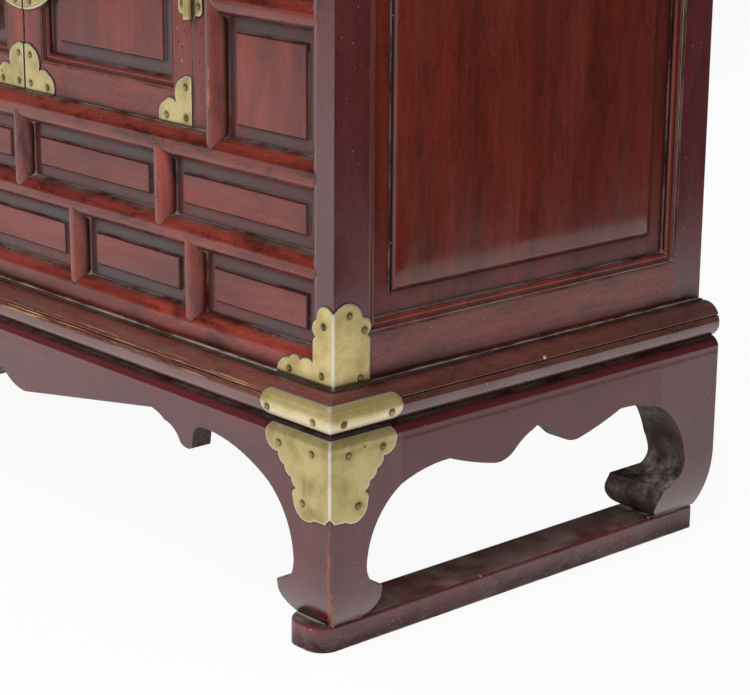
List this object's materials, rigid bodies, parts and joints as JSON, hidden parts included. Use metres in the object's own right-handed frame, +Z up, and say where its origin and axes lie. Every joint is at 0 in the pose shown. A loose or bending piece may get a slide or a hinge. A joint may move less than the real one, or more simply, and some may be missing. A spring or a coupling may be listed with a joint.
{
  "type": "chest on stand",
  "caption": "Lacquered wood chest on a scrolled stand with floor runners; hinged doors, drawers, raised panels in moulded bars, and brass corner plates.",
  "frame": {"origin": "on the floor under the middle of the chest's overall box", "axes": "+Z up, -Y out of the front, +X to the right of someone facing the front"},
  "size_m": [0.957, 0.4786, 0.849],
  "materials": {
    "frame_lacquer": "dark red-brown gloss lacquer, worn",
    "panel_lacquer": "red-brown gloss lacquer over straight grain",
    "plain_wood": "plain unpolished wood",
    "brass": "pale tarnished brass sheet"
  },
  "bodies": {
    "carcass": {"back_apron": "plain_wood", "back_legs": "frame_lacquer", "back_panel": "plain_wood", "back_posts": "frame_lacquer", "back_rails": "plain_wood", "base_back_bar": "plain_wood", "base_moulding_front": "frame_lacquer", "base_moulding_sides": "frame_lacquer", "body_corner_plates": "brass", "cabinet_floor": "plain_wood", "carcass_nails": "brass", "door_jambs": "frame_lacquer", "drawer_muntins": "frame_lacquer", "drawer_shelf": "plain_wood", "flank_panels": "panel_lacquer", "flank_rails": "frame_lacquer", "floor_runners": "frame_lacquer", "front_apron": "frame_lacquer", "front_legs": "frame_lacquer", "front_posts": "frame_lacquer", "front_rails": "frame_lacquer", "hinge_pins": "brass", "jamb_hinge_leaves": "brass", "leg_plates": "brass", "lower_row_muntins": "frame_lacquer", "lower_row_panels": "panel_lacquer", "moulding_straps": "brass", "side_aprons": "frame_lacquer", "side_beads": "frame_lacquer", "side_panels": "panel_lacquer", "side_rails": "frame_lacquer", "top_board": "frame_lacquer", "upper_row_muntins": "frame_lacquer", "upper_row_panels": "panel_lacquer"},
    "door_left": {"door_left_corner_plates": "brass", "door_left_frame": "frame_lacquer", "door_left_hinge_leaves": "brass", "door_left_lock_plate": "brass", "door_left_nails": "brass", "door_left_panel": "panel_lacquer"},
    "door_pull_left": {"door_left_pull": "brass"},
    "door_right": {"door_right_corner_plates": "brass", "door_right_frame": "frame_lacquer", "door_right_hinge_leaves": "brass", "door_right_lock_plate": "brass", "door_right_nails": "brass", "door_right_panel": "panel_lacquer"},
    "door_pull_right": {"door_right_pull": "brass"},
    "drawer_left": {"drawer_left_box": "plain_wood", "drawer_left_front": "panel_lacquer", "drawer_left_pull_plate": "brass"},
    "drawer_bail_left": {"drawer_left_bail": "brass"},
    "drawer_centre": {"drawer_centre_box": "plain_wood", "drawer_centre_front": "panel_lacquer", "drawer_centre_pull_plate": "brass"},
    "drawer_bail_centre": {"drawer_centre_bail": "brass"},
    "drawer_right": {"drawer_right_box": "plain_wood", "drawer_right_front": "panel_lacquer", "drawer_right_pull_plate": "brass"},
    "drawer_bail_right": {"drawer_right_bail": "brass"}
  },
  "joints": [
    {"name": "door_left_swing", "type": "hinge", "parent": "carcass", "child": "door_left", "pos_m": [-0.2545, -0.20305, 0.5582], "axis": [0, 0, -1], "range_deg": [0, 110]},
    {"name": "door_pull_left_swing", "type": "hinge", "parent": "door_left", "child": "door_pull_left", "pos_m": [-0.04, -0.20595, 0.5702], "axis": [-1, 0, 0], "range_deg": [0, 90]},
    {"name": "door_right_swing", "type": "hinge", "parent": "carcass", "child": "door_right", "pos_m": [0.2545, -0.20305, 0.5582], "axis": [0, 0, 1], "range_deg": [0, 110]},
    {"name": "door_pull_right_swing", "type": "hinge", "parent": "door_right", "child": "door_pull_right", "pos_m": [0.04, -0.20595, 0.5702], "axis": [-1, 0, 0], "range_deg": [0, 90]},
    {"name": "drawer_left_slide", "type": "slide", "parent": "carcass", "child": "drawer_left", "axis": [0, -1, 0], "range_m": [0, 0.28]},
    {"name": "drawer_bail_left_swing", "type": "hinge", "parent": "drawer_left", "child": "drawer_bail_left", "pos_m": [-0.28733, -0.20895, 0.77133], "axis": [-1, 0, 0], "range_deg": [0, 90]},
    {"name": "drawer_centre_slide", "type": "slide", "parent": "carcass", "child": "drawer_centre", "axis": [0, -1, 0], "range_m": [0, 0.28]},
    {"name": "drawer_bail_centre_swing", "type": "hinge", "parent": "drawer_centre", "child": "drawer_bail_centre", "pos_m": [0, -0.20895, 0.77133], "axis": [-1, 0, 0], "range_deg": [0, 90]},
    {"name": "drawer_right_slide", "type": "slide", "parent": "carcass", "child": "drawer_right", "axis": [0, -1, 0], "range_m": [0, 0.28]},
    {"name": "drawer_bail_right_swing", "type": "hinge", "parent": "drawer_right", "child": "drawer_bail_right", "pos_m": [0.28733, -0.20895, 0.77133], "axis": [-1, 0, 0], "range_deg": [0, 90]}
  ]
}
